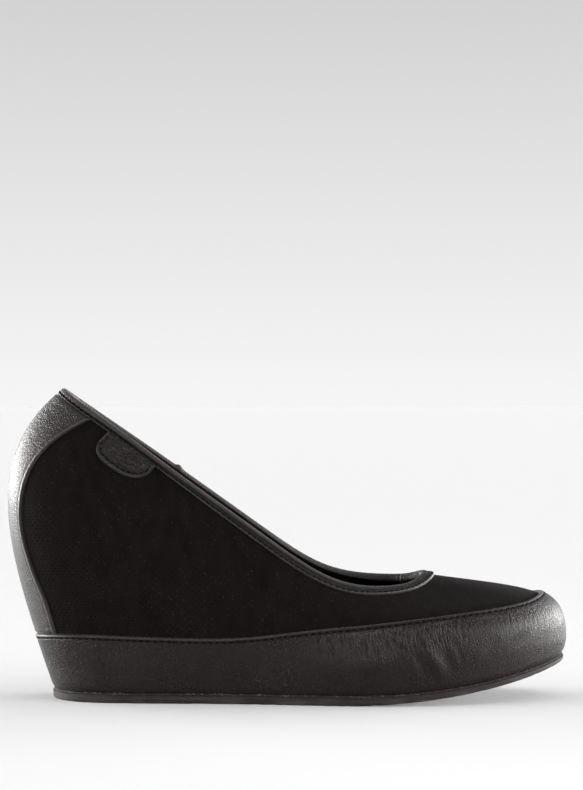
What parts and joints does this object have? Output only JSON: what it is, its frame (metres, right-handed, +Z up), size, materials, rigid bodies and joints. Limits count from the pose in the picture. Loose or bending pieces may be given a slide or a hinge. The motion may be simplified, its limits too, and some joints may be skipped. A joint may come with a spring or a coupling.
{
  "type": "wedge pump",
  "caption": "Women's slip-on pump on a covered wedge, with a low platform, a leather band round the foot, a leather back strip and a bound topline. Right shoe.",
  "frame": {"origin": "on the floor under the middle of the shoe's length and width", "axes": "+X towards the toe, +Y towards the inner (medial) side, +Z up"},
  "size_m": [0.24, 0.0874, 0.1321],
  "materials": {
    "outsole_rubber": "matt black rubber with a worn lower edge",
    "wedge_core": "dark moulded core, hidden by the upper and the insole",
    "lining_leather": "smooth dark lining leather",
    "suede": "warm black suede with a fine nap and small pinholes",
    "smooth_leather": "satin black leather with a fine grain and stitched edges"
  },
  "bodies": {
    "root": {"outsole": "outsole_rubber", "wedge": "wedge_core", "insole": "lining_leather", "upper": "suede", "band": "smooth_leather", "heel_strip": "smooth_leather", "binding": "smooth_leather", "tab": "smooth_leather"}
  },
  "joints": []
}
